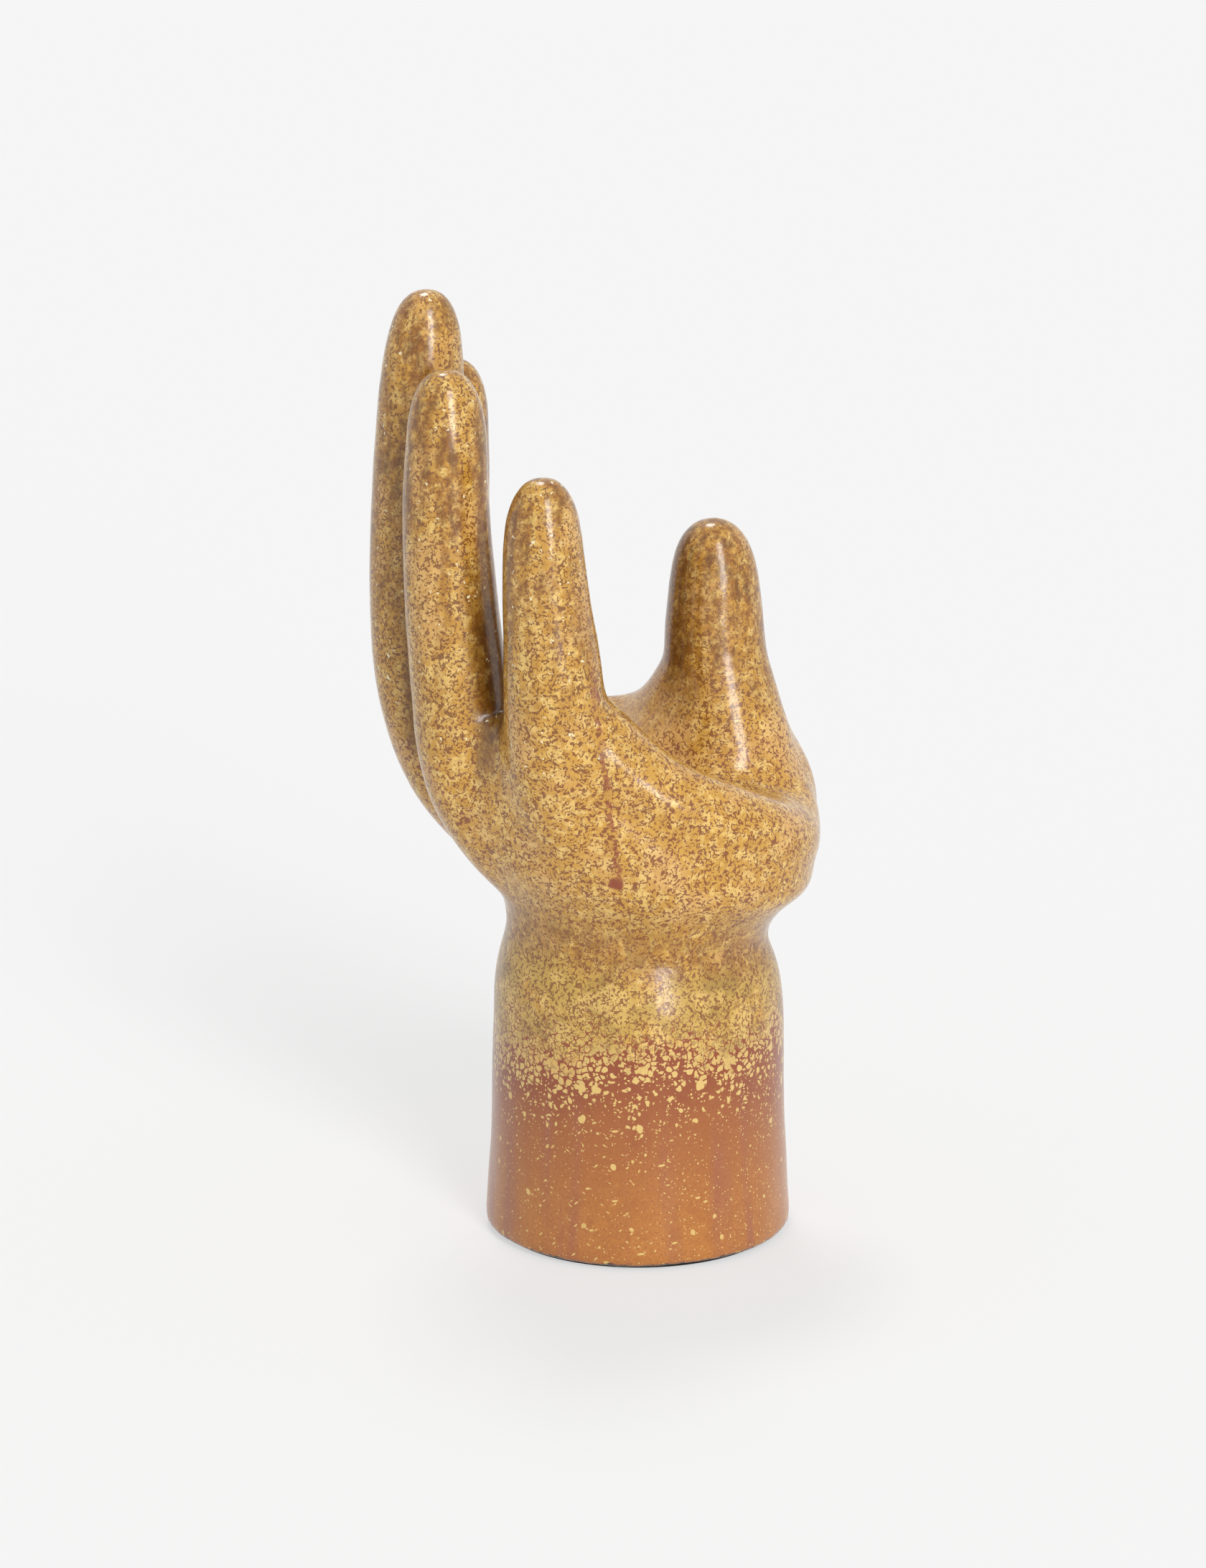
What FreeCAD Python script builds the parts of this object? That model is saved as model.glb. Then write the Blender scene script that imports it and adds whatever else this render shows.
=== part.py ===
import FreeCAD, Part
import math
import os

# Ceramic hand: an upright right hand on a round wrist, its palm cupped like a small bowl.
# The clay pieces are hollow and are luted to each other at flat seams before the firing.
# Millimetres. +Z is up and the origin is the middle of the felt's underside. The palm opens
# to +X, the back of the fingers is at -X, and the little finger is on the -Y side.

V = FreeCAD.Vector
UP = V(0, 0, 1)

# Wrist sleeve
wrist_radius = 51.2
wrist_height = 112.8
foot_flare = 2.6
neck_radius = 44.8
neck_tilt_deg = 5.3
clay_wall = 6.0
foot_edge_radius = 1.2

# Floor slab and felt under the foot
slab_thickness = 6.0
slab_ledge = 2.5
slab_recess = 1.0
slab_clearance = 0.3
drain_radius = 8.0
felt_thickness = 1.0
felt_margin = 4.0

# Palm and the bowl pressed into it
palm_half_length = 63.5
palm_half_breadth = 56.0
palm_height = 56.0
palm_tilt_deg = 14.0
bowl_half_length = 45.0
bowl_half_breadth = 31.0
bowl_half_height = 52.0
bowl_floor_height = 139.0
bowl_offset = 13.0
bowl_side_offset = 6.0

# Fingers: how far the middle one stands from the wrist's axis, how far the others stand
# inside it, and the height of each tip
finger_radius = 16.8
finger_gap = 1.2
middle_reach = 77.0
middle_tip_height = 329.6
ring_inset = 11.6
ring_tip_height = 308.0
index_inset = 9.6
index_tip_height = 300.0
little_inset = 44.6
little_tip_height = 277.0
little_step = 28.0
index_spread_share = 0.97

# Thumb: how far it stands inside the palm's end
thumb_inset = 36.9
thumb_side = 30.0
thumb_tip_height = 247.2
thumb_radius = 17.7

# Rolls of clay: the near rim, the far rim and the swelling under the thumb
heel_radius = 15.0
web_radius = 13.0
mound_radius = 25.0

# The seams between palm and fingers
seam_height = 206.0

# Control points around each ring, and how much wider they stand than the surface
ring_points = 12
spline_gain = 6 / (4 + 2 * math.cos(2 * math.pi / ring_points))

ring_reach = middle_reach - ring_inset
index_reach = middle_reach - index_inset
little_reach = middle_reach - little_inset
thumb_reach = palm_half_length - thumb_inset
middle_side = finger_radius + finger_gap / 2
ring_side = middle_side
index_side = middle_side + 2 * finger_radius * index_spread_share + finger_gap
little_side = ring_side + little_step
foot_radius = wrist_radius + foot_flare
rebate_radius = wrist_radius - clay_wall + slab_ledge

# Each row of a finger: its climb from the wrist's top to the tip, then its distance out,
# its distance to the side and its girth, as shares of the finger's named sizes
middle_shares = (
    (0.08, 0.36, 0.60, 1.10),
    (0.13, 0.56, 0.70, 1.09),
    (0.175, 0.72, 0.80, 1.08),
    (0.23, 0.835, 0.90, 1.06),
    (0.29, 0.915, 0.97, 1.035),
    (0.36, 0.965, 1.0, 1.015),
    (0.44, 0.992, 1.0, 1.0),
    (0.52, 1.0, 1.0, 0.99),
    (0.61, 0.996, 1.0, 0.97),
    (0.70, 0.987, 1.0, 0.945),
    (0.79, 0.974, 1.0, 0.91),
    (0.87, 0.960, 1.0, 0.85),
    (0.935, 0.947, 1.0, 0.76),
    (0.982, 0.937, 1.0, 0.54),
    (1.0, 0.935, 1.0, 0.24),
)
ring_shares = (
    (0.09, 0.42, 0.60, 1.10),
    (0.15, 0.62, 0.72, 1.08),
    (0.21, 0.77, 0.84, 1.06),
    (0.27, 0.865, 0.92, 1.04),
    (0.34, 0.910, 0.97, 1.02),
    (0.42, 0.932, 1.0, 1.005),
    (0.50, 0.952, 1.0, 0.985),
    (0.58, 0.972, 1.0, 0.96),
    (0.66, 0.990, 1.0, 0.925),
    (0.74, 1.0, 1.0, 0.895),
    (0.82, 0.998, 1.0, 0.865),
    (0.90, 0.993, 1.0, 0.82),
    (0.955, 0.995, 1.0, 0.68),
    (0.99, 1.0, 1.0, 0.44),
    (1.0, 1.0, 1.0, 0.20),
)
index_shares = (
    (0.08, 0.30, 0.50, 1.10),
    (0.14, 0.46, 0.66, 1.08),
    (0.21, 0.62, 0.79, 1.05),
    (0.28, 0.78, 0.89, 1.0),
    (0.36, 0.89, 0.96, 0.97),
    (0.44, 0.955, 0.99, 0.95),
    (0.52, 0.985, 1.0, 0.94),
    (0.61, 1.0, 1.0, 0.92),
    (0.70, 1.0, 1.0, 0.90),
    (0.79, 0.990, 1.0, 0.865),
    (0.87, 0.970, 1.0, 0.80),
    (0.935, 0.955, 1.0, 0.71),
    (0.985, 0.945, 1.0, 0.48),
    (1.0, 0.94, 1.0, 0.22),
)
little_shares = (
    (0.14, 0.36, 0.40, 1.15),
    (0.20, 0.55, 0.62, 1.14),
    (0.27, 0.70, 0.80, 1.12),
    (0.34, 0.80, 0.90, 1.09),
    (0.42, 0.855, 0.96, 1.06),
    (0.50, 0.875, 0.99, 1.03),
    (0.58, 0.895, 1.0, 1.0),
    (0.66, 0.925, 1.0, 0.945),
    (0.74, 0.96, 1.0, 0.88),
    (0.82, 0.99, 1.0, 0.83),
    (0.89, 1.0, 1.0, 0.78),
    (0.945, 0.995, 1.0, 0.67),
    (0.985, 0.99, 1.0, 0.44),
    (1.0, 0.99, 1.0, 0.22),
)
thumb_shares = (
    (0.10, 1.30, 0.55, 1.05),
    (0.17, 1.60, 0.75, 1.18),
    (0.25, 1.67, 0.86, 1.21),
    (0.33, 1.45, 0.93, 1.18),
    (0.41, 1.24, 0.97, 1.14),
    (0.50, 1.11, 0.98, 1.085),
    (0.59, 1.03, 1.0, 1.045),
    (0.68, 1.0, 1.0, 1.0),
    (0.76, 1.0, 1.0, 0.95),
    (0.83, 1.0, 1.0, 0.90),
    (0.89, 0.99, 1.0, 0.83),
    (0.945, 0.96, 1.0, 0.69),
    (0.985, 0.93, 1.0, 0.44),
    (1.0, 0.92, 1.0, 0.20),
)

# Each row of a roll: its place along the palm's half length and half breadth, its rise
# from the wrist's top as a share of the palm's height, and its girth
heel_shares = (
    (-0.41, -0.77, 1.50, 0.78),
    (-0.33, -0.77, 1.40, 0.95),
    (-0.19, -0.76, 1.22, 1.0),
    (-0.02, -0.74, 1.02, 1.0),
    (0.18, -0.72, 0.87, 1.0),
    (0.40, -0.65, 0.76, 1.0),
    (0.60, -0.50, 0.64, 1.0),
    (0.735, -0.28, 0.52, 1.02),
    (0.765, 0.0, 0.49, 1.05),
    (0.745, 0.26, 0.58, 1.09),
    (0.66, 0.44, 0.74, 1.1),
)
web_shares = (
    (-0.87, 0.84, 1.02, 0.9),
    (-0.74, 0.855, 1.01, 1.0),
    (-0.54, 0.86, 0.975, 1.0),
    (-0.30, 0.85, 0.94, 1.04),
    (-0.10, 0.81, 0.93, 1.11),
    (0.06, 0.74, 0.97, 1.17),
    (0.19, 0.66, 1.07, 1.22),
    (0.30, 0.59, 1.23, 1.26),
    (0.38, 0.55, 1.42, 1.24),
)
mound_shares = (
    (0.31, 0.07, 0.24, 0.80),
    (0.44, 0.18, 0.45, 0.96),
    (0.51, 0.27, 0.66, 1.01),
    (0.52, 0.36, 0.90, 0.96),
    (0.475, 0.45, 1.14, 0.85),
    (0.45, 0.51, 1.38, 0.745),
    (0.43, 0.53, 1.58, 0.68),
)

# Each row of the palm: its rise, its offset, how far it swells along and across from the
# neck, and how far it leans from the neck's tilt to the palm's
palm_shares = (
    (0.0, 0.0, 0.0, 0.0, 0.0),
    (0.07, 0.0, 0.02, 0.0, 0.0),
    (0.16, 0.0, 0.22, 0.22, 0.06),
    (0.32, 0.0, 0.78, 0.72, 0.37),
    (0.50, -0.01, 1.0, 0.97, 0.71),
    (0.66, -0.03, 1.04, 1.04, 0.89),
    (0.80, -0.12, 0.90, 0.98, 0.54),
    (0.92, -0.20, 0.62, 0.84, 0.08),
)

# Each row of the sleeve above its foot: its climb, its flare, its waist and its tilt
sleeve_shares = (
    (0.05, 0.85, 0.0, 0.0),
    (0.16, 0.5, 0.0, 0.0),
    (0.38, 0.05, 0.0, 0.0),
    (0.62, 0.0, 0.0, 0.0),
    (0.80, 0.0, 0.10, 0.2),
    (0.90, 0.0, 0.55, 0.5),
    (0.965, 0.0, 1.0, 1.0),
    (1.0, 0.0, 1.0, 1.0),
)


def unit(v):
    return V(v).normalize()


def ring(centre, first, second, half_first, half_second):
    """Control points of a closed oval round a centre, along two directions."""
    turns = [2 * math.pi * k / ring_points for k in range(ring_points)]
    return [
        centre
        + first * (spline_gain * half_first * math.cos(t))
        + second * (spline_gain * half_second * math.sin(t))
        for t in turns
    ]


def skin(rings):
    """A smooth solid through rings of control points, flat at each end or closed to a point."""
    spans = len(rings) - 3
    poles = [[row[k] for row in rings] for k in range(ring_points)]
    surface = Part.BSplineSurface()
    surface.buildFromPolesMultsKnots(
        poles,
        [1] * (ring_points + 1),
        [4] + [1] * (spans - 1) + [4],
        list(range(ring_points + 1)),
        list(range(spans + 1)),
        True,
        False,
        3,
        3,
    )
    side = surface.toShape()
    ends = [e for e in side.Edges if e.isClosed() and not e.Degenerated]
    whole = Part.Compound([side] + [Part.Face(Part.Wire([e])) for e in ends])
    whole.sewShape()
    solid = Part.Solid(whole.Shells[0])
    if solid.Volume < 0:
        solid.reverse()
    return solid


def limb(path, radii, side, domed):
    """A round limb along a path of centres, ending flat or in a dome."""
    rings = []
    for k, centre in enumerate(path):
        before = path[max(k - 1, 0)]
        after = path[min(k + 1, len(path) - 1)]
        along = unit(after - before)
        second = unit(side - along * side.dot(along))
        rings.append(ring(centre, second.cross(along), second, radii[k], radii[k]))
    if domed:
        rings.append([path[-1]] * ring_points)
    return skin(rings)


def finger(shares, reach, side, tip_height, radius, wall):
    """A whole finger with its root inside the palm, or its bore when a wall is taken off."""
    rise = tip_height - wall - wrist_height
    path = [V(reach * row[1], side * row[2], wrist_height + rise * row[0]) for row in shares]
    radii = [(radius - wall) * row[3] for row in shares]
    return limb(path, radii, V(side, -reach, 0), domed=True)


def all_fingers(wall):
    return {
        "index_finger": finger(
            index_shares, -index_reach, index_side, index_tip_height, finger_radius, wall
        ),
        "middle_finger": finger(
            middle_shares, -middle_reach, middle_side, middle_tip_height, finger_radius, wall
        ),
        "ring_finger": finger(
            ring_shares, -ring_reach, -ring_side, ring_tip_height, finger_radius, wall
        ),
        "little_finger": finger(
            little_shares, -little_reach, -little_side, little_tip_height, finger_radius, wall
        ),
        "thumb": finger(thumb_shares, thumb_reach, thumb_side, thumb_tip_height, thumb_radius, wall),
    }


def roll(shares, radius, wall):
    """A roll of clay along the bowl's rim, or its bore."""
    path = [
        V(
            palm_half_length * row[0],
            palm_half_breadth * row[1],
            wrist_height + palm_height * row[2],
        )
        for row in shares
    ]
    radii = [(radius - wall) * row[3] for row in shares]
    return limb(path, radii, UP, domed=False)


def level(x, z, half_length, half_breadth, tilt_deg):
    """A ring of the wrist or the palm, raised on its -X side by the tilt."""
    tilt = math.radians(tilt_deg)
    along = V(math.cos(tilt), 0, -math.sin(tilt))
    return ring(V(x, 0, z), along, V(0, 1, 0), half_length, half_breadth)


def sleeve():
    bottom = felt_thickness
    waist = wrist_radius - neck_radius
    foot_edge = foot_radius - foot_edge_radius
    rings = [
        level(0, bottom, foot_edge, foot_edge, 0),
        level(0, bottom, foot_radius, foot_radius, 0),
        level(0, bottom + 2 * foot_edge_radius, foot_radius, foot_radius, 0),
    ]
    bore = []
    for row in sleeve_shares:
        z = bottom + (wrist_height - bottom) * row[0]
        outside = wrist_radius + foot_flare * row[1] - waist * row[2]
        inside = wrist_radius - waist * row[2] - clay_wall
        rings.append(level(0, z, outside, outside, neck_tilt_deg * row[3]))
        bore.append(level(0, z, inside, inside, neck_tilt_deg * row[3]))
    below = level(0, 0, wrist_radius - clay_wall, wrist_radius - clay_wall, 0)
    neck_bore = neck_radius - clay_wall
    above = level(0, wrist_height + clay_wall, neck_bore, neck_bore, neck_tilt_deg)
    hollow = skin([below] + bore + [above])
    ledge_height = slab_recess + slab_thickness
    rebate = Part.makeCylinder(rebate_radius, ledge_height, V(0, 0, felt_thickness))
    return skin(rings).cut(hollow).cut(rebate)


def palm_body(wall, drop):
    """The round of the palm before its bowl is pressed in, or its hollow."""
    neck = neck_radius - wall
    rings = []
    if drop:
        rings.append(level(0, wrist_height - drop, neck, neck, neck_tilt_deg))
    for row in palm_shares:
        length = neck + (palm_half_length - neck_radius) * row[2]
        breadth = neck + (palm_half_breadth - neck_radius) * row[3]
        z = wrist_height + (palm_height - wall) * row[0]
        tilt_deg = neck_tilt_deg + (palm_tilt_deg - neck_tilt_deg) * row[4]
        rings.append(level(palm_half_length * row[1], z, length, breadth, tilt_deg))
    return skin(rings)


def bowl(wall):
    """The oval hollow of the cupped hand, or the same with a wall of clay round it."""
    ball = Part.makeSphere(bowl_half_length + wall)
    squeeze = FreeCAD.Matrix()
    length = bowl_half_length + wall
    squeeze.scale(1, (bowl_half_breadth + wall) / length, (bowl_half_height + wall) / length)
    shape = ball.transformGeometry(squeeze)
    shape.translate(V(-bowl_offset, -bowl_side_offset, bowl_floor_height + bowl_half_height))
    return shape


def palm_shell(fingers, bores):
    body = palm_body(0, 0).cut(bowl(0))
    rolls = [
        roll(heel_shares, heel_radius, 0),
        roll(web_shares, web_radius, 0),
        roll(mound_shares, mound_radius, 0),
    ]
    body = body.multiFuse(list(fingers.values()) + rolls)
    hollow = palm_body(clay_wall, clay_wall)
    roll_bores = [roll(heel_shares, heel_radius, clay_wall), roll(web_shares, web_radius, clay_wall)]
    hollow = hollow.multiFuse(list(bores.values()) + roll_bores).cut(bowl(clay_wall))
    return body.cut(above_seam()).cut(hollow)


def above_seam():
    span = middle_tip_height
    return Part.makeBox(2 * span, 2 * span, span, V(-span, -span, seam_height))


def floor_slab():
    radius = rebate_radius - slab_clearance
    base = V(0, 0, felt_thickness + slab_recess)
    disc = Part.makeCylinder(radius, slab_thickness, base)
    return disc.cut(Part.makeCylinder(drain_radius, slab_thickness, base))


def base_felt():
    return Part.makeCylinder(foot_radius - felt_margin, felt_thickness)


def main():
    os.makedirs("parts", exist_ok=True)
    fingers = all_fingers(0)
    bores = all_fingers(clay_wall)
    nodes = {
        "base_felt": base_felt(),
        "floor_slab": floor_slab(),
        "wrist_sleeve": sleeve(),
        "palm_shell": palm_shell(fingers, bores),
    }
    for name, whole in fingers.items():
        nodes[name] = whole.common(above_seam()).cut(bores[name])
    for name, shape in nodes.items():
        shape.Solids[0].exportStep(f"parts/{name}.step")


main()
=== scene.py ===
import math

import bmesh
import bpy
import numpy as np
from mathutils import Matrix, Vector


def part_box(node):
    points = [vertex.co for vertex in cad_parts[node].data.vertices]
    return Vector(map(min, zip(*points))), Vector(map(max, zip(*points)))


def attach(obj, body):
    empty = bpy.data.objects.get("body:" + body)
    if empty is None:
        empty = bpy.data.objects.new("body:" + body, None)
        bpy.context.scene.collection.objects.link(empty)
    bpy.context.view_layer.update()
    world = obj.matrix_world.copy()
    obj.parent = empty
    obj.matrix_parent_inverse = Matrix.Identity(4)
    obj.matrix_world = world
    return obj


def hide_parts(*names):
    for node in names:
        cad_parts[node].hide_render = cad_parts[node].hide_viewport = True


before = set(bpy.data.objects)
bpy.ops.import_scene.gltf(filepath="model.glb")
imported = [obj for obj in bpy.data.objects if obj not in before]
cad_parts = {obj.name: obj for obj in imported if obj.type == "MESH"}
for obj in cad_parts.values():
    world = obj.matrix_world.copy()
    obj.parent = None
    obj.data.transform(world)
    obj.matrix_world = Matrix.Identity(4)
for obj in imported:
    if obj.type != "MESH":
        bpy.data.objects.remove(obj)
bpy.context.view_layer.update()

# A glazed ceramic hand with a cupped palm, on a round wrist. Sizes are in metres, apart from
# the zones of filling, which are in millimetres.
MM = 0.001

finger_nodes = ("index_finger", "middle_finger", "ring_finger", "little_finger", "thumb")
clay_nodes = ("palm_shell", "wrist_sleeve") + finger_nodes
finger_row = finger_nodes[:4]

# The seams, from the frame. The neck's seam leans, so the sleeve ends higher on one side
seam_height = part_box("thumb")[0][2]
sleeve_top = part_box("wrist_sleeve")[1][2]
palm_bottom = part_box("palm_shell")[0][2]
neck_radius = 44.8 * MM
neck_height = (sleeve_top + palm_bottom) / 2
neck_tilt = math.asin((sleeve_top - palm_bottom) / 2 / neck_radius)

# Clay surface
clay_grain = 1.2 * MM
merge_distance = 0.001 * MM
most_triangles = 190000
crease_rounds = 260
ramp_rounds = 500
web_rounds = 500
normals_every = 4
smoothing_rounds = 12
smoothing_step = 0.5
smooth_angle = math.radians(50)
wobble_size = 28 * MM
wobble_depth = 0.9 * MM
cutter_reach = 0.4

# The slits between neighbouring fingers, from their feet to just under the lower tip
slit_foot = 176 * MM
slit_under_tip = 20 * MM
slit_band = 2 * MM
root_band = 1 * MM

# Lumps pressed in by hand, each with its middle, half sizes and turn: one slopes from the
# palm up to the thumb, one closes the foot of the gap beside the little finger
clay_lumps = (
    ((14 * MM, 24 * MM, 150 * MM), (32 * MM, 22 * MM, 30 * MM), 0.0),
    ((-46 * MM, -33 * MM, 171 * MM), (8 * MM, 8.5 * MM, 23 * MM), math.radians(-40)),
)

# Where the creases fill in, in millimetres: each pair runs from no filling to full filling
palm_height = (206, 166)
thumb_along, thumb_height = (-30, -10), (228, 210)
over_neck_height = (104, 118)
slope_along = ((-45, -20), (62, 48))
slope_across = ((-8, 6), (52, 40))
slope_height = ((138, 144), (214, 196))
web_height = ((204, 180), (142, 152))
web_reach = (20, 11)

# The bowl of the palm: the upright line through it, how far its thin glaze and painted highlight
# reach from that line, and where they start and are full along, across and down
bowl_axis = ((6 * MM, 12 * MM, 120 * MM), (6 * MM, 12 * MM, 300 * MM))
bowl_round = (24 * MM, 34 * MM)
bowl_along = (-22 * MM, -4 * MM)
bowl_across = ((4 * MM, 20 * MM), (60 * MM, 50 * MM))
bowl_down = (200 * MM, 172 * MM)

# The thin run of iron down the little finger, and the bead that it ends in
run_top_height = 236 * MM
run_foot_height = 140 * MM
run_top_side = -19 * MM
run_foot_side = -7 * MM
run_bead = (-7.5 * MM, -53 * MM, 139.5 * MM)
run_width = (0.6 * MM, 1.3 * MM)
run_bead_width = (2.0 * MM, 3.2 * MM)
run_front = (-20 * MM, -26 * MM)

# The hand's glaze: where each shade or spot starts and where it is full
finger_shade_up = (165 * MM, 275 * MM)
thumb_shade_along = (0, 16 * MM)
thumb_shade_across = (0, 14 * MM)
thumb_shade_up = (168 * MM, 205 * MM)
thumb_side_along = (24 * MM, 13 * MM)
palm_red_down = (205 * MM, 160 * MM)
cream_along = (0, -12 * MM)
cream_up = (160 * MM, 185 * MM)
# The slits' umber is partly pooled glaze and partly painted shade
slit_shade_round = (8 * MM, 15 * MM)
# The neck's darker band is partly amber glaze and partly painted shade in the crease
hand_neck_glaze_and_shade = (114 * MM, 134 * MM)
hand_gloss = 0.2
hand_relief = 0.07 * MM

# The wrist's glaze, likewise, from the amber neck, darkened partly with painted shade at the
# crease, down to the toasted rim of the foot
wrist_neck_glaze_and_shade = (98 * MM, 108 * MM)
olive_from_below = (66 * MM, 82 * MM)
olive_from_above = (112 * MM, 100 * MM)
ochre_up = (80 * MM, 94 * MM)
drops_up = (36 * MM, 88 * MM)
oxblood_up = (46 * MM, 72 * MM)
orange_down = (62 * MM, 6 * MM)
toasted_down = (2.4 * MM, 1.6 * MM)
wrist_gloss = 0.26
wrist_relief = 0.08 * MM


def pick(thing):
    bpy.ops.object.select_all(action="DESELECT")
    thing.select_set(True)
    bpy.context.view_layer.objects.active = thing


def apply_modifier(thing, kind, **settings):
    pick(thing)
    made = thing.modifiers.new(kind.lower(), kind)
    for name, value in settings.items():
        setattr(made, name, value)
    bpy.ops.object.modifier_apply(modifier=made.name)


def copy_of(node):
    """A merged copy of one clay node's mesh, as an object of its own."""
    thing = bpy.data.objects.new("clay_" + node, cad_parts[node].data.copy())
    bpy.context.scene.collection.objects.link(thing)
    shell = bmesh.new()
    shell.from_mesh(thing.data)
    bmesh.ops.remove_doubles(shell, verts=shell.verts, dist=merge_distance)
    shell.to_mesh(thing.data)
    shell.free()
    return thing


def clay_lump(middle, half_sizes, turn):
    """A rounded lump of clay, turned about its upright axis."""
    bpy.ops.object.select_all(action="DESELECT")
    bpy.ops.mesh.primitive_uv_sphere_add(segments=48, ring_count=24, radius=1)
    lump = bpy.context.object
    lump.scale = half_sizes
    lump.rotation_euler = (0, 0, turn)
    lump.location = middle
    bpy.ops.object.transform_apply(location=True, rotation=True, scale=True)
    return lump


def joined_clay():
    """The whole hand as one even skin, before its creases are worked."""
    copies = [copy_of(node) for node in clay_nodes]
    copies += [clay_lump(*lump) for lump in clay_lumps]
    bpy.ops.object.select_all(action="DESELECT")
    for thing in copies:
        thing.select_set(True)
    bpy.context.view_layer.objects.active = copies[0]
    bpy.ops.object.join()
    body = bpy.context.object
    body.data.materials.clear()
    apply_modifier(body, "REMESH", mode="VOXEL", voxel_size=clay_grain, use_smooth_shade=True)
    return body


def smoothstep(value, low, high):
    share = np.clip((value - low) / (high - low), 0, 1)
    return share * share * (3 - 2 * share)


def zone(value, one_side, other_side):
    return smoothstep(value, *one_side) * smoothstep(value, *other_side)


def vertex_places(thing):
    places = np.empty(len(thing.data.vertices) * 3, np.float32)
    thing.data.vertices.foreach_get("co", places)
    return places.reshape(-1, 3).astype(np.float64)


def set_vertex_places(thing, places):
    thing.data.vertices.foreach_set("co", places.astype(np.float32).ravel())
    thing.data.update()


class Surface:
    """The chosen vertices of a mesh with their neighbours and faces, to be worked like clay."""

    def __init__(self, thing, chosen):
        edges = np.empty(len(thing.data.edges) * 2, np.int32)
        thing.data.edges.foreach_get("vertices", edges)
        edges = edges.reshape(-1, 2)
        near = np.concatenate([edges[:, 0], edges[:, 1]])
        far = np.concatenate([edges[:, 1], edges[:, 0]])
        self.rows = np.flatnonzero(chosen)
        number = np.cumsum(chosen) - 1
        self.near = number[near[chosen[near]]]
        self.far = far[chosen[near]]
        self.links = np.bincount(self.near, minlength=len(self.rows))
        thing.data.calc_loop_triangles()
        corners = np.empty(len(thing.data.loop_triangles) * 3, np.int32)
        thing.data.loop_triangles.foreach_get("vertices", corners)
        corners = corners.reshape(-1, 3)
        self.corners = corners[chosen[corners].any(1)]

    def pull(self, places):
        """From each chosen vertex to the middle of its neighbours."""
        reach = places[self.far]
        count = len(self.rows)
        middle = [np.bincount(self.near, reach[:, axis], count) for axis in range(3)]
        return np.stack(middle, 1) / self.links[:, None] - places[self.rows]

    def normals(self, places):
        a, b, c = (places[self.corners[:, k]] for k in range(3))
        face = np.cross(b - a, c - a)
        total = np.zeros_like(places)
        for k in range(3):
            for axis in range(3):
                total[:, axis] += np.bincount(self.corners[:, k], face[:, axis], len(places))
        total = total[self.rows]
        return total / np.maximum(np.linalg.norm(total, axis=1, keepdims=True), 1e-12)


def softness(places):
    """How freely each place fills in, from 0 in the slits between the fingers to 1."""
    x, y, z = (places / MM).T
    palm = smoothstep(z, *palm_height)
    thumb_side = smoothstep(x, *thumb_along) * smoothstep(z, *thumb_height)
    return np.maximum(palm, thumb_side) * smoothstep(z, *over_neck_height)


def ramp_share(places):
    """The slope from the bowl up to the thumb and the far rim, which fills in most."""
    x, y, z = (places / MM).T
    return zone(x, *slope_along) * zone(y, *slope_across) * zone(z, *slope_height)


def middle_at(node, low, high):
    """The middle of one finger's skin between two heights, on its axis."""
    skin = vertex_places(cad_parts[node])
    ring = skin[(skin[:, 2] >= low) & (skin[:, 2] <= high)]
    return (ring.min(0) + ring.max(0)) / 2


def slit_between(one, other):
    """The foot and the head of the slit between two neighbouring fingers."""
    pair = (one, other)
    foot = sum(middle_at(node, seam_height, seam_height + root_band) for node in pair) / 2
    top = min(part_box(node)[1][2] for node in pair) - slit_under_tip
    head = sum(middle_at(node, top - slit_band, top + slit_band) for node in pair) / 2
    lean = (head - foot) / (head[2] - foot[2])
    return tuple(foot + lean * (slit_foot - foot[2])), tuple(head)


def web_share(places):
    """The feet of the slits, which close up into soft webs."""
    share = np.zeros(len(places))
    for foot, head in slit_lines:
        away = np.linalg.norm(places[:, :2] - np.array(foot[:2]), axis=1)
        share = np.maximum(share, smoothstep(away / MM, *web_reach))
    return share * zone(places[:, 2] / MM, *web_height)


def fill_creases(body, share_of, rounds):
    """Presses clay into the creases until they turn into soft hollows."""
    places = vertex_places(body)
    free = share_of(places)
    surface = Surface(body, free > 0)
    free = free[surface.rows][:, None]
    for turn in range(rounds):
        if turn % normals_every == 0:
            normals = surface.normals(places)
        rise = np.einsum("ij,ij->i", surface.pull(places), normals)
        places[surface.rows] += normals * np.maximum(rise, 0)[:, None] * free
    set_vertex_places(body, places)


def even_out(body, rounds):
    places = vertex_places(body)
    surface = Surface(body, np.ones(len(places), bool))
    for turn in range(rounds):
        places += smoothing_step * surface.pull(places)
    set_vertex_places(body, places)


def hand_wobble(body):
    """The slight waves that fingers leave in wet clay."""
    waves = bpy.data.textures.new("clay_waves", "CLOUDS")
    waves.noise_scale = wobble_size
    waves.noise_depth = 1
    settings = {"texture": waves, "texture_coords": "LOCAL", "mid_level": 0.5}
    apply_modifier(body, "DISPLACE", strength=wobble_depth, **settings)


def middle_of(low, high):
    return Vector([(a + b) / 2 for a, b in zip(low, high)])


def cutter(low, high, turn=0.0, pivot=(0, 0, 0)):
    """A plain block between two corners, turned about Y at a point."""
    bpy.ops.object.select_all(action="DESELECT")
    bpy.ops.mesh.primitive_cube_add(size=1)
    block = bpy.context.object
    block.scale = [b - a for a, b in zip(low, high)]
    block.location = middle_of(low, high)
    bpy.ops.object.transform_apply(location=True, rotation=True, scale=True)
    block.location = pivot
    block.rotation_euler = (0, turn, 0)
    bpy.ops.object.transform_apply(location=True, rotation=True, scale=True)
    return block


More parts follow.
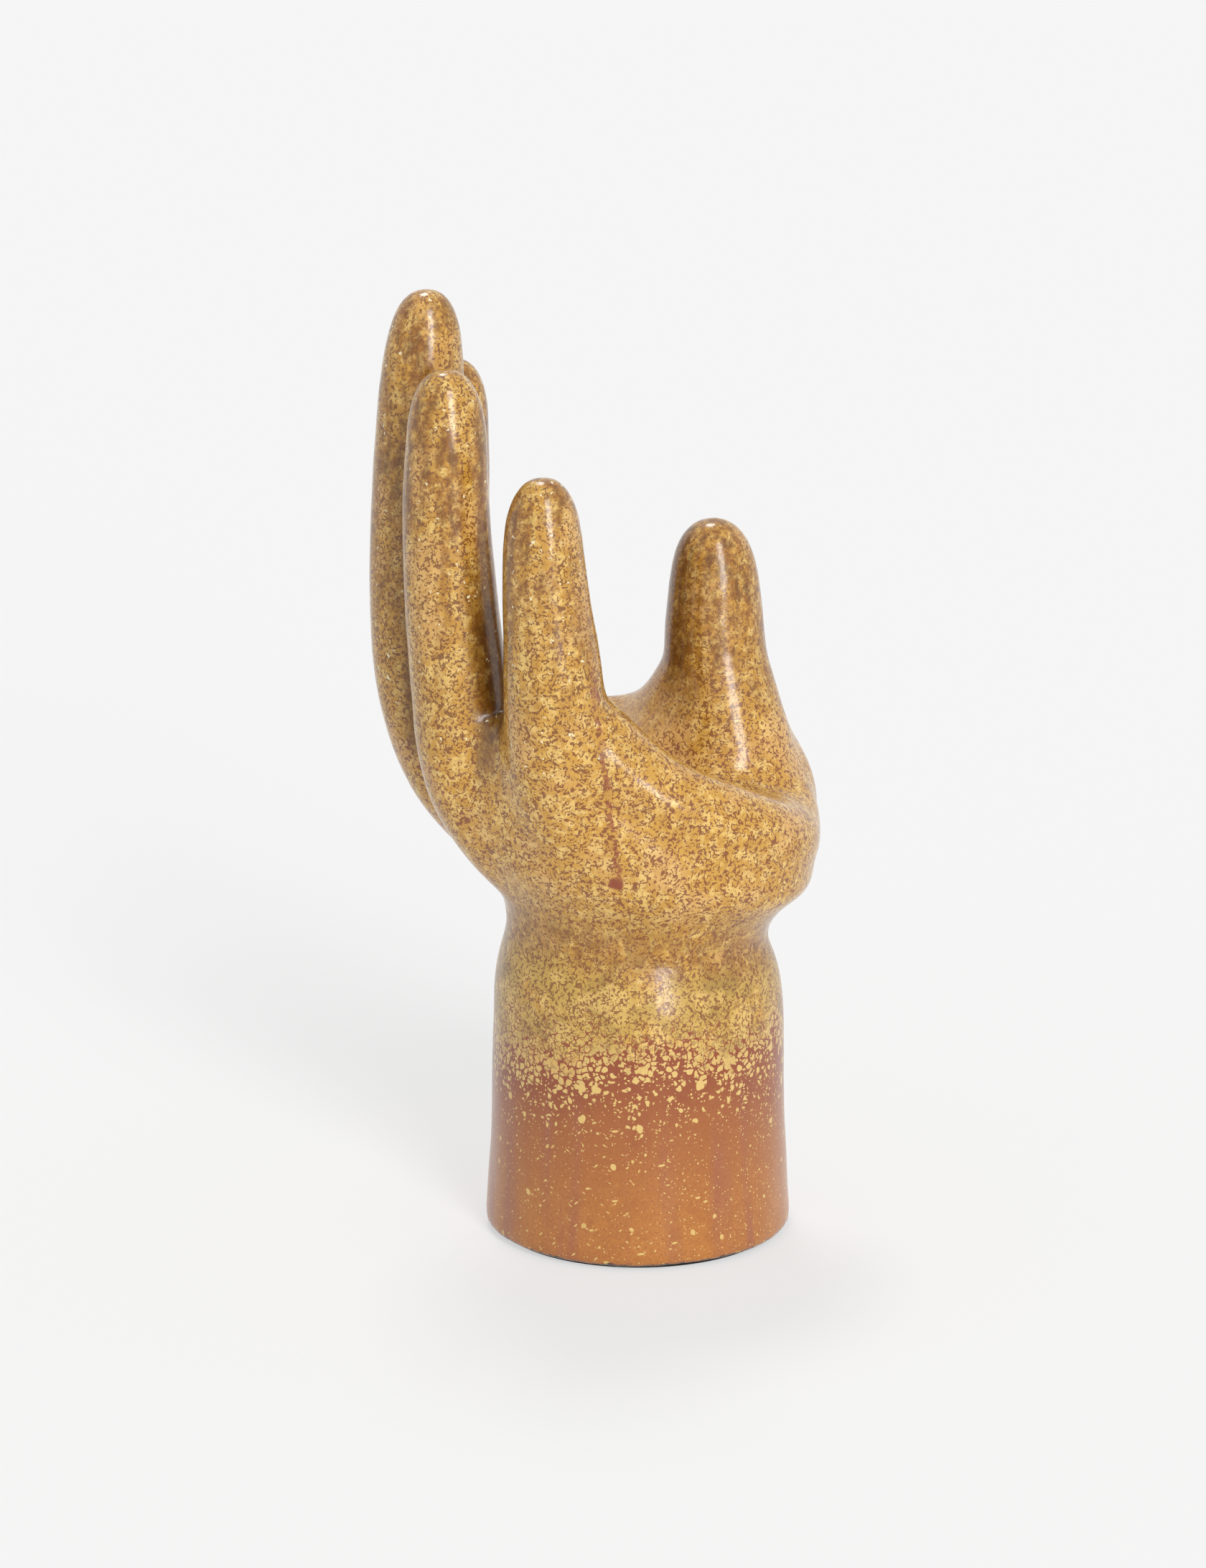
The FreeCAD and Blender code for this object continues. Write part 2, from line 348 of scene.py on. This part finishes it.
def cut_to(body, name, *blocks):
    """A copy of the hand with only what lies inside all the blocks, closed at the cuts."""
    piece = bpy.data.objects.new(name, body.data.copy())
    bpy.context.scene.collection.objects.link(piece)
    for block in blocks:
        apply_modifier(piece, "BOOLEAN", operation="INTERSECT", solver="MANIFOLD", object=block)
    return piece


def part_fingers(all_fingers):
    """The fingers and the thumb above the seam, each as an object of its own."""
    pick(all_fingers)
    bpy.ops.object.mode_set(mode="EDIT")
    bpy.ops.mesh.separate(type="LOOSE")
    bpy.ops.object.mode_set(mode="OBJECT")
    parted = {}
    for thing in list(bpy.context.selected_objects):
        # The nearest CAD finger gives the name, and a stray bit of clay is left out
        corners = [Vector(corner) for corner in thing.bound_box]
        centre = sum(corners, Vector()) / 8
        name = min(finger_nodes, key=lambda node: (middle_of(*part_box(node)) - centre).length)
        if name in parted and len(parted[name].data.vertices) > len(thing.data.vertices):
            bpy.data.objects.remove(thing)
            continue
        parted[name] = thing
    return parted


def split_hand(body):
    """The hand cut at its seams into the pieces that it was built from."""
    span = cutter_reach
    neck_middle = (0, 0, neck_height)
    over_neck = cutter((-span, -span, 0), (span, span, span), neck_tilt, neck_middle)
    under_neck = cutter((-span, -span, -span), (span, span, 0), neck_tilt, neck_middle)
    under_seam = cutter((-span, -span, 0), (span, span, seam_height))
    over_seam = cutter((-span, -span, seam_height), (span, span, span))
    pieces = part_fingers(cut_to(body, "fingers", over_seam))
    pieces["palm_shell"] = cut_to(body, "palm", over_neck, under_seam)
    pieces["wrist_sleeve"] = cut_to(body, "wrist", under_neck)
    for used in (over_neck, under_neck, under_seam, over_seam, body):
        bpy.data.objects.remove(used)
    for node, piece in pieces.items():
        piece.data.calc_loop_triangles()
        triangles = len(piece.data.loop_triangles)
        if triangles > most_triangles:
            apply_modifier(piece, "DECIMATE", ratio=most_triangles / triangles)
        piece.name = node + "_glazed"
        pick(piece)
        bpy.ops.object.shade_smooth_by_angle(angle=smooth_angle)
        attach(piece, "root")
        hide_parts(node)
    return pieces


def put(tree, kind, feeds, **settings):
    """One shader node, its sockets fed by values or by other nodes' outputs."""
    made = tree.nodes.new("ShaderNode" + kind)
    for name, value in settings.items():
        setattr(made, name, value)
    feed(tree, made, feeds)
    return made


def feed(tree, made, feeds):
    for place, value in feeds.items():
        socket = made.inputs[place]
        if isinstance(value, bpy.types.NodeSocket):
            tree.links.new(value, socket)
        else:
            socket.default_value = value


def reckon(tree, way, *values):
    """One sum, from left to right, over values or outputs."""
    total = values[0]
    for value in values[1:]:
        total = put(tree, "Math", {0: total, 1: value}, operation=way).outputs[0]
    return total


def sum_of(tree, *values):
    return reckon(tree, "ADD", *values)


def less(tree, *values):
    return reckon(tree, "SUBTRACT", *values)


def times(tree, *values):
    return reckon(tree, "MULTIPLY", *values)


def larger(tree, *values):
    return reckon(tree, "MAXIMUM", *values)


def unsigned(tree, value):
    return put(tree, "Math", {0: value}, operation="ABSOLUTE").outputs[0]


def change(tree, value, low, high, start, end, **settings):
    feeds = {0: value, 1: low, 2: high, 3: start, 4: end}
    return put(tree, "MapRange", feeds, **settings).outputs[0]


def ramp(tree, value, low, high, start=0.0, end=1.0):
    """A soft step from start to end while the value goes from low to high."""
    return change(tree, value, low, high, start, end, interpolation_type="SMOOTHSTEP")


def straight(tree, value, low, high, start, end):
    """Even change from start to end while the value goes from low to high, and on."""
    return change(tree, value, low, high, start, end, clamp=False)


def tint(tree, share, first, second):
    """The first colour turning into the second, through the Mix node's colour sockets."""
    feeds = {0: share, 6: first, 7: second}
    return put(tree, "Mix", feeds, data_type="RGBA").outputs[2]


def moved(tree, place, by, way="ADD"):
    """Places with another set of places added, taken off or multiplied in."""
    return put(tree, "VectorMath", {0: place, 1: by}, operation=way).outputs[0]


def scaled(tree, place, x, y, z):
    return moved(tree, place, (x, y, z), "MULTIPLY")


def distance(tree, place, other):
    made = put(tree, "VectorMath", {0: place, 1: other}, operation="DISTANCE")
    return made.outputs["Value"]


def parts_of(tree, place):
    """X, Y and Z of a place."""
    return put(tree, "SeparateXYZ", {0: place}).outputs


def noise(tree, place, size, detail=2.0, rough=0.5):
    feeds = {"Vector": place, "Scale": 1 / size, "Detail": detail, "Roughness": rough}
    return put(tree, "TexNoise", feeds).outputs[0]


def warped(tree, place, size, reach):
    """Places pushed about at random by up to half the reach."""
    feeds = {"Vector": place, "Scale": 1 / size, "Detail": 1.0}
    swirl = put(tree, "TexNoise", feeds).outputs["Color"]
    centred = moved(tree, swirl, (0.5, 0.5, 0.5), "SUBTRACT")
    push = put(tree, "VectorMath", {0: centred, "Scale": reach}, operation="SCALE").outputs[0]
    return moved(tree, place, push)


def edge_of_cells(tree, place, size):
    feeds = {"Vector": place, "Scale": 1 / size}
    return put(tree, "TexVoronoi", feeds, feature="DISTANCE_TO_EDGE").outputs["Distance"]


def cell_hearts(tree, place, size):
    """How far each place is from its cell's heart, and a random value for the cell."""
    cells = put(tree, "TexVoronoi", {"Vector": place, "Scale": 1 / size}, feature="F1")
    luck = put(tree, "SeparateColor", {0: cells.outputs["Color"]}).outputs[0]
    return cells.outputs["Distance"], luck


def new_group(name, takes, gives):
    tree = bpy.data.node_groups.new(name, "ShaderNodeTree")
    for label, kind in takes.items():
        tree.interface.new_socket(name=label, in_out="INPUT", socket_type="NodeSocket" + kind)
    for label, kind in gives.items():
        tree.interface.new_socket(name=label, in_out="OUTPUT", socket_type="NodeSocket" + kind)
    entry = tree.nodes.new("NodeGroupInput").outputs
    result = tree.nodes.new("NodeGroupOutput").inputs
    return tree, entry, result


def placed(tree, group, feeds):
    made = tree.nodes.new("ShaderNodeGroup")
    made.node_tree = group
    feed(tree, made, feeds)
    return made.outputs


# Glaze colours
gold = (0.64, 0.345, 0.055, 1)
# Pale gold: glaze patches, and in the olive pools partly a painted highlight
pale_gold_and_sheen = (0.84, 0.56, 0.17, 1)
deep_ochre = (0.46, 0.20, 0.022, 1)
peach = (0.78, 0.46, 0.17, 1)
amber = (0.33, 0.128, 0.014, 1)
umber = (0.085, 0.032, 0.006, 1)
# Dark olive: partly glaze, partly painted shade
dark_olive_and_shade = (0.35, 0.215, 0.045, 1)
olive = (0.57, 0.360, 0.075, 1)
brown_fleck = (0.155, 0.052, 0.008, 1)
red_fleck = (0.20, 0.046, 0.014, 1)
cream = (0.88, 0.79, 0.52, 1)
# Pale clay colour for the inside of the bowl: partly thin glaze, partly a painted highlight
pale_clay_and_highlight = (0.66, 0.45, 0.25, 1)
butter = (0.76, 0.52, 0.17, 1)
oxblood = (0.28, 0.058, 0.018, 1)
rust = (0.38, 0.118, 0.026, 1)
orange_rust = (0.53, 0.205, 0.036, 1)
mauve = (0.37, 0.125, 0.068, 1)
toasted = (0.06, 0.025, 0.012, 1)
raw_clay = (0.35, 0.18, 0.10, 1)
dark_felt = (0.03, 0.025, 0.02, 1)


def curls(tree, place, size, width, plenty):
    """Short curled strokes: the half-way lines of a soft noise, broken by another."""
    bend = unsigned(tree, less(tree, noise(tree, place, size, 1.0), 0.5))
    line = ramp(tree, bend, width * 0.6, width, 1, 0)
    elsewhere = moved(tree, place, (0.31, 0.17, 0.05))
    breaks = noise(tree, elsewhere, size * 0.85, 1.0)
    return times(tree, line, ramp(tree, breaks, 0.51 - plenty, 0.54 - plenty))


def sparse_spots(tree, place, size, radius, luck_over):
    """Rare round spots, as a mask."""
    reach, luck = cell_hearts(tree, place, size)
    spots = ramp(tree, reach, radius * 0.75, radius, 1, 0)
    return times(tree, spots, ramp(tree, luck, luck_over, luck_over + 0.02))


def glaze_beads(tree, place, size, cover, smallest, largest, plenty):
    """Drops of glaze that grow and close up as the cover thickens, with fine lines between."""
    reach, luck = cell_hearts(tree, place, size)
    edge = edge_of_cells(tree, place, size)
    swollen = ramp(tree, cover, 0.0, 1.0, smallest, largest)
    drop = ramp(tree, less(tree, swollen, reach), -0.02, 0.05)
    gap = ramp(tree, cover, 0.2, 1.0, 0.17, 0.02)
    apart = ramp(tree, less(tree, edge, gap), -0.01, 0.05)
    kept = ramp(tree, less(tree, times(tree, cover, plenty), luck), -0.02, 0.02)
    return times(tree, drop, apart, kept)


def ochre_glaze_group():
    """Gold glaze with pale patches, amber and olive pools, and short curled dark flecks; the dark
    olive and pale gold pools are partly painted shade and painted highlight.
    """
    masks = ("Amber", "Olive", "Red", "Flecks")
    takes = {"Place": "Vector"} | {mask: "Float" for mask in masks}
    tree, entry, result = new_group("ochre_glaze", takes, {"Colour": "Color", "Relief": "Float"})
    place = entry["Place"]

    # The gold ground, its deeper grain and its pale and blushing patches
    patches = noise(tree, place, 4 * MM, 3.0, 0.6)
    specks = noise(tree, place, 1.4 * MM, 3.0, 0.7)
    clouds = noise(tree, place, 20 * MM, 1.0)
    ground = tint(tree, ramp(tree, patches, 0.44, 0.62), gold, pale_gold_and_sheen)
    ground = tint(tree, ramp(tree, specks, 0.46, 0.66, 0, 0.4), ground, deep_ochre)
    blush = times(tree, ramp(tree, clouds, 0.50, 0.66, 0, 0.5), less(tree, 1.0, entry["Olive"]))
    ground = tint(tree, blush, ground, peach)

    # Olive pools of three depths, where the olive mask lets them in: olive, dark olive that is
    # partly painted shade, and pale gold that is partly painted highlight
    olive_shade_and_sheen_pools = (
        (11 * MM, 2.0, (0.30, 0.56), olive),
        (15 * MM, 1.5, (0.50, 0.66, 0, 0.75), dark_olive_and_shade),
        (13 * MM, 2.0, (0.50, 0.38, 0, 0.6), pale_gold_and_sheen),
    )
    for size, detail, fade, colour in olive_shade_and_sheen_pools:
        pool = times(tree, ramp(tree, noise(tree, place, size, detail), *fade), entry["Olive"])
        ground = tint(tree, pool, ground, colour)

    # Amber pools and drawn-out umber dregs, where the amber mask lets them in
    amber_spread = noise(tree, place, 3.4 * MM, 3.0, 0.7)
    pools = times(tree, ramp(tree, amber_spread, 0.32, 0.60), entry["Amber"])
    ground = tint(tree, pools, ground, amber)
    drawn = noise(tree, scaled(tree, place, 1, 1, 0.35), 3.2 * MM, 3.0, 0.6)
    dregs = times(tree, ramp(tree, drawn, 0.42, 0.66, 0, 0.7), entry["Amber"], entry["Amber"])
    ground = tint(tree, dregs, ground, umber)

    # Curled flecks in two sizes
    stirred = warped(tree, place, 3 * MM, 1.6 * MM)
    long_curls = curls(tree, stirred, 2.0 * MM, 0.075, 0.0)
    short_curls = curls(tree, stirred, 1.3 * MM, 0.10, -0.03)
    flecks = times(tree, larger(tree, long_curls, short_curls), entry["Flecks"])
    fleck_colour = tint(tree, entry["Red"], brown_fleck, red_fleck)
    tree.links.new(tint(tree, flecks, ground, fleck_colour), result["Colour"])

    fine = times(tree, less(tree, specks, flecks), 0.3)
    tree.links.new(sum_of(tree, times(tree, patches, 0.6), fine), result["Relief"])
    return tree


def glaze_material(name, rough):
    """A glossy glaze's material, with its shader and object places ready to be joined up."""
    made = bpy.data.materials.new(name)
    made.use_nodes = True
    tree = made.node_tree
    shader = tree.nodes["Principled BSDF"]
    shader.inputs["Roughness"].default_value = rough
    shader.inputs["IOR"].default_value = 1.5
    shader.inputs["Coat Weight"].default_value = 0.2
    shader.inputs["Coat Roughness"].default_value = 0.08
    place = tree.nodes.new("ShaderNodeTexCoord").outputs["Object"]
    axes = parts_of(tree, place)
    return made, tree, shader, place, axes


def raise_glaze(tree, shader, relief, depth):
    bump = put(tree, "Bump", {"Strength": 1.0, "Distance": depth, "Height": relief})
    tree.links.new(bump.outputs[0], shader.inputs["Normal"])


def height_on_neck(tree, x, z):
    """Height along the leaning neck, so that a band follows its tilt."""
    return sum_of(tree, z, times(tree, x, math.tan(neck_tilt)))


def near_line(tree, place, foot, head, inner, outer):
    """A soft mask round a nearly upright line, fading at both its ends."""
    z = parts_of(tree, place)["Z"]
    axis_x = straight(tree, z, foot[2], head[2], foot[0], head[0])
    axis_y = straight(tree, z, foot[2], head[2], foot[1], head[1])
    on_axis = put(tree, "CombineXYZ", {0: axis_x, 1: axis_y, 2: z}).outputs[0]
    away = distance(tree, place, on_axis)
    foot_end = ramp(tree, z, foot[2] - 12 * MM, foot[2])
    head_end = ramp(tree, z, head[2], head[2] - 40 * MM)
    return times(tree, ramp(tree, away, inner, outer, 1, 0), foot_end, head_end)


def thumb_shade(tree, drawn, x, y, z):
    """The browner glaze on the thumb, and a darker band on its side towards the palm."""
    along = ramp(tree, x, *thumb_shade_along)
    across = ramp(tree, y, *thumb_shade_across)
    up = ramp(tree, z, *thumb_shade_up)
    shade = times(tree, along, across, up, ramp(tree, drawn, 0.36, 0.60, 0.55, 1))
    return shade, times(tree, shade, ramp(tree, x, *thumb_side_along))


def bowl_thin_glaze_and_highlight(tree, place, x, y, z):
    """The inside of the palm, paler where the glaze has run thin and lightened with a painted
    highlight.
    """
    along = ramp(tree, x, *bowl_along)
    near_side, far_side = [ramp(tree, y, *side) for side in bowl_across]
    down = ramp(tree, z, *bowl_down)
    around = near_line(tree, place, *bowl_axis, *bowl_round)
    return times(tree, along, near_side, far_side, down, around)


def iron_run(tree, place, y, z):
    """The thin run of iron down the little finger, and the bead that it ends in."""
    flow = warped(tree, place, 5 * MM, 4 * MM)
    line = parts_of(tree, flow)
    lean = straight(tree, line[2], run_foot_height, run_top_height, run_foot_side, run_top_side)
    off = unsigned(tree, less(tree, line[0], lean))
    ragged = times(tree, less(tree, noise(tree, place, 1.6 * MM, 2.0), 0.5), 3 * MM)
    thread = ramp(tree, sum_of(tree, off, ragged), *run_width, 0.8, 0)
    broken = ramp(tree, noise(tree, place, 4 * MM, 2.0), 0.42, 0.54, 0.1, 1)
    on_front = ramp(tree, y, *run_front)
    low_end = ramp(tree, z, run_foot_height, run_foot_height + 2 * MM)
    top_end = ramp(tree, z, run_top_height, run_top_height - 40 * MM)
    thread = times(tree, thread, broken, on_front, low_end, top_end)
    bead = ramp(tree, distance(tree, flow, run_bead), *run_bead_width, 1, 0)
    return larger(tree, thread, bead)


def hand_glaze(group):
    """Ochre over the palm, darker and browner on the fingers and the thumb."""
    made, tree, shader, place, axes = glaze_material("glaze_ochre", hand_gloss)
    x, y, z = axes

    # Where the glaze is dark: up the fingers and on the thumb; at the neck crease and in the slits
    # the darkening is partly glaze and partly painted shade
    drawn = noise(tree, scaled(tree, place, 1, 1, 0.22), 7 * MM, 2.0)
    up_fingers = ramp(tree, z, *finger_shade_up, 0.15, 0.9)
    tips = times(tree, up_fingers, ramp(tree, drawn, 0.40, 0.58, 0.25, 1))
    thumb, thumb_side = thumb_shade(tree, drawn, x, y, z)
    neck_glaze_and_shade = ramp(tree, height_on_neck(tree, x, z), *hand_neck_glaze_and_shade, 1, 0)
    slit_glaze_and_shade = larger(tree, *[near_line(tree, place, *line, *slit_shade_round) for line in slit_lines])
    thumb_and_neck = (times(tree, thumb, 0.95), thumb_side, times(tree, neck_glaze_and_shade, 0.65))
    dark = larger(tree, tips, *thumb_and_neck, slit_glaze_and_shade)

    red = ramp(tree, z, *palm_red_down, 0.35, 1)
    masks = {"Amber": dark, "Olive": times(tree, neck_glaze_and_shade, 0.4), "Red": red}
    masks["Flecks"] = ramp(tree, dark, 0.3, 1.0, 0.85, 0.55)
    glaze = placed(tree, group, {"Place": place} | masks)

    # Umber in the slits, partly pooled glaze and partly painted shade, and on the thumb's side
    # towards the palm; the thin glaze and painted highlight inside the bowl, cream spots and the
    # run of iron
    umber_and_shade = times(tree, larger(tree, slit_glaze_and_shade, thumb_side), 0.5)
    colour = tint(tree, umber_and_shade, glaze["Colour"], umber)
    # Paler inside the bowl: partly thin glaze, partly a painted highlight
    thin_glaze_and_highlight = times(tree, bowl_thin_glaze_and_highlight(tree, place, x, y, z), 0.55)
    colour = tint(tree, thin_glaze_and_highlight, colour, pale_clay_and_highlight)
    pushed = warped(tree, place, 1.2 * MM, 2.6 * MM)
    creams = sparse_spots(tree, pushed, 3.2 * MM, 0.17, 0.62)
    on_fingers = times(tree, ramp(tree, x, *cream_along), ramp(tree, z, *cream_up))
    colour = tint(tree, times(tree, creams, on_fingers), colour, cream)
    colour = tint(tree, iron_run(tree, place, y, z), colour, oxblood)
    tree.links.new(colour, shader.inputs["Base Color"])
    raise_glaze(tree, shader, glaze["Relief"], hand_relief)
    return made


def rust_ground(tree, place, z, level):
    """The rust glaze under the drops, paler towards the foot, with mauve runs."""
    ground = tint(tree, ramp(tree, z, *orange_down), rust, orange_rust)
    streaks = noise(tree, scaled(tree, place, 1, 1, 0.08), 11 * MM, 2.0)
    ground = tint(tree, ramp(tree, streaks, 0.46, 0.74, 0, 0.9), ground, mauve)
    grain = noise(tree, place, 0.8 * MM, 3.0, 0.7)
    ground = tint(tree, ramp(tree, grain, 0.40, 0.70, 0, 0.45), ground, oxblood)
    mottle = noise(tree, place, 6 * MM, 3.0, 0.6)
    ground = tint(tree, ramp(tree, mottle, 0.42, 0.64, 0, 0.35), ground, rust)
    return tint(tree, ramp(tree, level, *oxblood_up, 0, 0.85), ground, oxblood)


def pale_marks(tree, place, stirred):
    """The few pale flecks on the rust: dots in two sizes, and dashes that lean three ways."""
    marks = [sparse_spots(tree, place, 1.3 * MM, 0.18, 0.35)]
    marks.append(sparse_spots(tree, stirred, 7.5 * MM, 0.15, 0.45))
    dashes = (
        ((0.6, 0.9, 0.0), 1.9 * MM),
        ((-0.5, -0.7, 0.3), 2.3 * MM),
        ((0.2, 1.7, 0.5), 3.4 * MM),
    )
    for turn, size in dashes:
        leaning = put(tree, "Mapping", {0: place, "Rotation": turn}).outputs[0]
        drawn = scaled(tree, leaning, 1, 1, 0.3)
        marks.append(sparse_spots(tree, drawn, size, 0.14, 0.3))
    return larger(tree, *marks)


def wrist_glaze(group):
    """Ochre breaking into drops over rust, down to a bare orange foot with few flecks."""
    made, tree, shader, place, axes = glaze_material("glaze_rust", wrist_gloss)
    z = axes["Z"]
    on_neck = height_on_neck(tree, axes["X"], z)
    # Amber at the neck, partly glaze and partly painted shade in the crease
    neck_glaze_and_shade = ramp(tree, on_neck, *wrist_neck_glaze_and_shade)
    shoulder = times(tree, ramp(tree, z, *olive_from_below), ramp(tree, on_neck, *olive_from_above))
    masks = {"Amber": times(tree, neck_glaze_and_shade, 0.65), "Olive": shoulder, "Red": 0.7, "Flecks": 0.8}
    glaze = placed(tree, group, {"Place": place} | masks)

    # Height with a sway added, so that the glaze's edge runs unevenly
    runs = noise(tree, scaled(tree, place, 1, 1, 0.25), 8 * MM, 2.0)
    swell = noise(tree, place, 26 * MM, 1.0)
    sway_of_runs = times(tree, less(tree, runs, 0.5), 24 * MM)
    sway_of_swell = times(tree, less(tree, swell, 0.5), 26 * MM)
    level = sum_of(tree, z, sum_of(tree, sway_of_runs, sway_of_swell))

    cover = straight(tree, level, *drops_up, 0, 1)
    stirred = warped(tree, place, 3 * MM, 2.0 * MM)
    beads = larger(
        tree,
        glaze_beads(tree, stirred, 2.4 * MM, cover, 0.18, 0.74, 1.2),
        glaze_beads(tree, stirred, 1.2 * MM, cover, 0.28, 0.56, 0.6),
        glaze_beads(tree, stirred, 5.0 * MM, cover, 0.22, 0.50, 0.5),
    )
    ground = rust_ground(tree, place, z, level)
    ground = tint(tree, pale_marks(tree, place, stirred), ground, butter)
    bead_colour = tint(tree, ramp(tree, cover, 0.55, 0.95), butter, glaze["Colour"])
    colour = tint(tree, beads, ground, bead_colour)
    colour = tint(tree, ramp(tree, level, *ochre_up), colour, glaze["Colour"])

    # The toasted rim of the foot
    uneven = times(tree, less(tree, noise(tree, place, 3 * MM, 3.0), 0.5), 4 * MM)
    rim = ramp(tree, sum_of(tree, z, uneven), *toasted_down)
    colour = tint(tree, rim, colour, toasted)
    tree.links.new(colour, shader.inputs["Base Color"])
    relief = sum_of(tree, times(tree, beads, 0.8), times(tree, glaze["Relief"], 0.5))
    raise_glaze(tree, shader, relief, wrist_relief)
    return made


def plain(name, colour, rough):
    made = bpy.data.materials.new(name)
    made.use_nodes = True
    shader = made.node_tree.nodes["Principled BSDF"]
    shader.inputs["Base Color"].default_value = colour
    shader.inputs["Roughness"].default_value = rough
    return made


def coat(thing, material):
    thing.data.materials.clear()
    thing.data.materials.append(material)


slit_lines = [slit_between(*pair) for pair in zip(finger_row, finger_row[1:])]
body = joined_clay()
fill_creases(body, softness, crease_rounds)
fill_creases(body, ramp_share, ramp_rounds)
fill_creases(body, web_share, web_rounds)
hand_wobble(body)
even_out(body, smoothing_rounds)
pieces = split_hand(body)

ochre_group = ochre_glaze_group()
ochre = hand_glaze(ochre_group)
rusty = wrist_glaze(ochre_group)
for node, piece in pieces.items():
    if node == "wrist_sleeve":
        coat(piece, rusty)
    else:
        coat(piece, ochre)
coat(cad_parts["floor_slab"], plain("bare_clay", raw_clay, 0.9))
coat(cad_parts["base_felt"], plain("felt", dark_felt, 1.0))

# Floor, light and camera. The floor lies a hair under the felt, so that no two faces coincide
floor_size = 40.0
floor_height = -0.1 * MM
paper_white = 0.908
paper_seen = 0.36
paper_lit = 0.8
paper_glow = paper_white - 0.35
room_strength = 0.47
lamps = (
    ("key_light", (0.75, -1.85, 0.3), 18, 0.66),
    ("key_light", (0.75, -1.85, 0.95), 18, 0.68),
    ("key_light", (0.75, -1.85, 1.8), 18, 0.68),
    ("back_light", (-0.1, 0.45, 0.9), 17, 0.9),
)
camera_place = (-12.3 * MM, -1650 * MM, 600.6 * MM)
camera_drop = 14.97
camera_lens = 113.2


def seen_by_eye(tree):
    """1 for rays from the camera and in reflections, which show the background."""
    rays = tree.nodes.new("ShaderNodeLightPath").outputs
    ways = ("Is Camera Ray", "Is Glossy Ray", "Is Transmission Ray")
    return larger(tree, *[rays[way] for way in ways])


def grey(level):
    return (level, level, level, 1)


def paper_material():
    """Pale paper that keeps a soft shadow, nearly white to the eye."""
    made = bpy.data.materials.new("pale_paper")
    made.use_nodes = True
    tree = made.node_tree
    tree.nodes.remove(tree.nodes["Principled BSDF"])
    matte = put(tree, "BsdfDiffuse", {"Color": grey(paper_lit)}).outputs[0]
    shade = put(tree, "BsdfDiffuse", {"Color": grey(paper_seen)}).outputs[0]
    glow = put(tree, "Emission", {"Strength": paper_glow}).outputs[0]
    shown = put(tree, "AddShader", {0: shade, 1: glow}).outputs[0]
    both = put(tree, "MixShader", {0: seen_by_eye(tree), 1: matte, 2: shown}).outputs[0]
    tree.links.new(both, tree.nodes["Material Output"].inputs["Surface"])
    return made


bpy.ops.object.select_all(action="DESELECT")
bpy.ops.mesh.primitive_plane_add(size=floor_size, location=(0, 0, floor_height))
floor = bpy.context.object
floor.name = "floor"
floor.data.materials.append(paper_material())

world = bpy.data.worlds.new("studio")
bpy.context.scene.world = world
world.use_nodes = True
room = world.node_tree
room_light = ramp(room, seen_by_eye(room), 0, 1, room_strength, paper_white)
room.nodes["Background"].inputs["Color"].default_value = grey(1)
room.links.new(room_light, room.nodes["Background"].inputs["Strength"])


def softbox(name, place, width_deg, strength):
    """A soft lamp so far off that it lights everything alike, from the way of its place."""
    lamp = bpy.data.lights.new(name, "SUN")
    lamp.angle = math.radians(width_deg)
    lamp.energy = strength
    thing = bpy.data.objects.new(name, lamp)
    bpy.context.scene.collection.objects.link(thing)
    thing.location = place
    thing.rotation_euler = Vector(place).to_track_quat("Z", "Y").to_euler()


for lamp in lamps:
    softbox(*lamp)

camera = bpy.data.cameras.new("camera")
camera.lens = camera_lens
camera.sensor_width = 36
seat = bpy.data.objects.new("camera", camera)
bpy.context.scene.collection.objects.link(seat)
seat.location = camera_place
seat.rotation_euler = (math.radians(90 - camera_drop), 0, 0)
bpy.context.scene.camera = seat
bpy.context.scene.view_settings.view_transform = "Standard"
